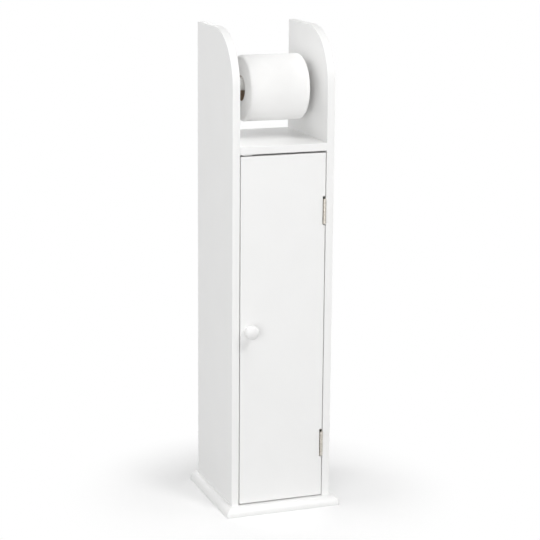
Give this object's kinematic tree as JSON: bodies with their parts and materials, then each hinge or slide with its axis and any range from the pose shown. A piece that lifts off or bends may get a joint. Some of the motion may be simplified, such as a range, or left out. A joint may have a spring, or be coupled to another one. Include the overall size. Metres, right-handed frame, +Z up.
{
  "type": "toilet roll storage cabinet",
  "caption": "Slim free-standing cabinet with an inset hinged door for spare rolls, an open bay above it and a spring-loaded roller that carries one toilet roll.",
  "frame": {"origin": "centre of the underside of the base board, on the floor", "axes": "+Z up, +X to the right of someone who faces the door, front towards -Y"},
  "size_m": [0.196, 0.205, 0.78],
  "materials": {
    "painted_board": "satin",
    "painted_hardboard": "satin",
    "painted_knob": "gloss",
    "zinc_plate": "satin",
    "yellow_zinc": "satin",
    "zinc_casting": "matte",
    "nickel_plate": "satin",
    "spring_steel": "satin",
    "catch_plastic": "satin",
    "magnet": "matte",
    "roller_plastic": "satin",
    "beech": "matte",
    "tissue_paper": "matte",
    "core_cardboard": "matte"
  },
  "bodies": {
    "cabinet": {"base_board": "painted_board", "left_side_panel": "painted_board", "right_side_panel": "painted_board", "shelf": "painted_board", "back_panel": "painted_hardboard", "cam_bolts": "zinc_plate", "cam_discs": "zinc_casting", "shelf_dowels": "beech", "base_dowels": "beech", "base_screws": "yellow_zinc", "back_panel_pins": "zinc_plate", "catch_housing": "catch_plastic", "catch_magnet": "magnet", "catch_screws": "zinc_plate", "lower_hinge_frame_leaf": "nickel_plate", "upper_hinge_frame_leaf": "nickel_plate", "lower_hinge_pin": "nickel_plate", "upper_hinge_pin": "nickel_plate", "hinge_frame_screws": "nickel_plate"},
    "door": {"door_panel": "painted_board", "lower_hinge_door_leaf": "nickel_plate", "upper_hinge_door_leaf": "nickel_plate", "hinge_door_screws": "nickel_plate", "door_knob": "painted_knob", "knob_screw": "zinc_plate", "strike_plate": "zinc_plate", "strike_screw": "zinc_plate"},
    "roller": {"roller_outer_tube": "roller_plastic", "roller_spring": "spring_steel"},
    "plunger": {"roller_inner_tube": "roller_plastic"},
    "roll": {"paper_roll": "tissue_paper", "cardboard_core": "core_cardboard"}
  },
  "joints": [
    {"name": "door_hinge", "type": "hinge", "parent": "cabinet", "child": "door", "pos_m": [0.0697, -0.082, 0.298], "axis": [0, 0, 1], "range_deg": [0, 180]},
    {"name": "roller_spin", "type": "hinge", "parent": "cabinet", "child": "roller", "pos_m": [0, 0.007, 0.6885], "axis": [1, 0, 0], "continuous": true},
    {"name": "plunger_slide", "type": "slide", "parent": "roller", "child": "plunger", "axis": [-1, 0, 0], "range_m": [0, 0.009], "stiffness_N_per_m": 350, "springref_m": -0.012, "deforming": ["roller_spring"]},
    {"name": "roll_spin", "type": "hinge", "parent": "cabinet", "child": "roll", "pos_m": [0, 0.007, 0.6808], "axis": [1, 0, 0], "continuous": true}
  ]
}
